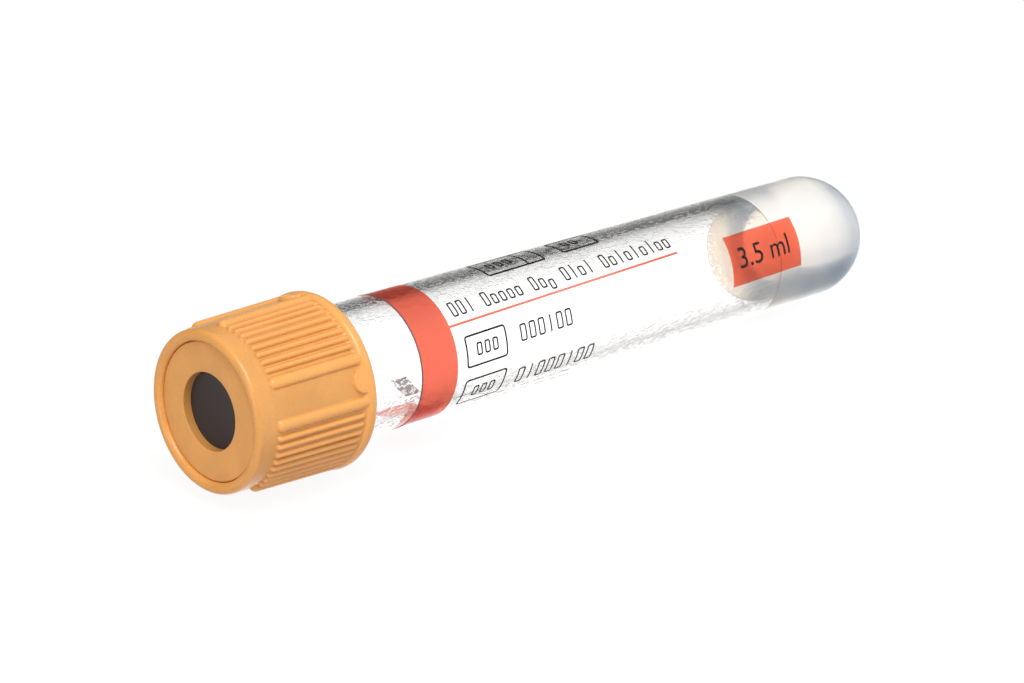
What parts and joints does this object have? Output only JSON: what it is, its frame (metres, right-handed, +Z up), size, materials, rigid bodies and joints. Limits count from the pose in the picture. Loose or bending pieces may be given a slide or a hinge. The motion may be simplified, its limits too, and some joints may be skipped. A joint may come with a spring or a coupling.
{
  "type": "blood collection tube",
  "caption": "Clear round-bottomed blood collection tube with separator gel and a clear printed label, closed by a rubber stopper in a ribbed amber screw cap, lying on its side.",
  "frame": {"origin": "on the surface the tube lies on, under the middle of its outline seen from above", "axes": "+Z up, +X along the tube from the cap towards the round bottom, +Y across it to the left of +X; the axis of the tube climbs 2.01 degrees towards the cap"},
  "size_m": [0.0832, 0.0166, 0.0167],
  "materials": {
    "clear_plastic": "clear and glossy",
    "separator_gel": "soft translucent gel",
    "label_film": "clear film with printed blocks",
    "stopper_rubber": "matte",
    "cap_plastic": "satin"
  },
  "bodies": {
    "tube": {"tube": "clear_plastic", "gel": "separator_gel", "label": "label_film"},
    "stopper": {"stopper": "stopper_rubber"},
    "cap": {"cap_shell": "cap_plastic", "cap_ring": "cap_plastic"}
  },
  "joints": [
    {"name": "stopper_lift", "type": "slide", "parent": "tube", "child": "stopper", "axis": [-0.9994, 0, 0.035], "range_m": [0, 0.015]},
    {"name": "cap_turn", "type": "hinge", "parent": "stopper", "child": "cap", "pos_m": [-0.0404, 0, 0.00875], "axis": [-0.9994, 0, 0.035], "range_deg": [0, 600]}
  ],
  "couplings": [
    {"joint": "cap_turn", "follows": "stopper_lift", "rad_per_m": 698.13}
  ]
}
